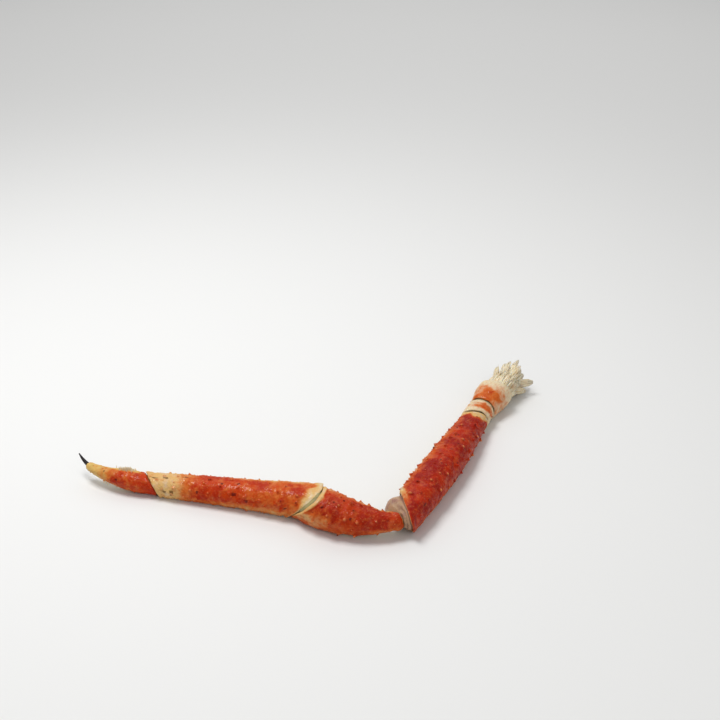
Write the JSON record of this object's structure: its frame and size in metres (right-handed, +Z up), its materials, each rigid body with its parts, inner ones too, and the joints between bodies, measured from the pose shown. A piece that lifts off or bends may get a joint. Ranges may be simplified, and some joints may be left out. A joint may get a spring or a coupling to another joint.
{
  "type": "crab leg",
  "caption": "Cooked crab leg lying on its side: spiny tapering shell segments joined by soft membranes, a dark nail at the toe and torn meat at the shoulder.",
  "frame": {"origin": "on the surface that the leg lies on, under the middle of the leg's box", "axes": "+X towards the shoulder end along the longest side, +Y away from the viewer towards the inside of the bend, +Z up"},
  "size_m": [0.2656, 0.17, 0.0201],
  "materials": {
    "shell": "wet cooked shell, orange-red with cream at the joints, low spines",
    "pale_shell": "wet cooked shell, ivory with orange flecks",
    "membrane": "damp wrinkled skin, cream to greenish brown",
    "nail": "smooth horn, near black",
    "meat": "moist flaky fibres, ivory white"
  },
  "bodies": {
    "root": {"shoulder_meat": "meat", "coxa": "pale_shell", "hip_membrane": "membrane", "ischium": "pale_shell", "base_membrane": "membrane", "merus": "shell", "knee_membrane": "membrane", "carpus": "shell", "wrist_membrane": "membrane", "propodus": "shell", "toe_membrane": "membrane", "dactyl": "shell", "nail": "nail"}
  },
  "joints": []
}
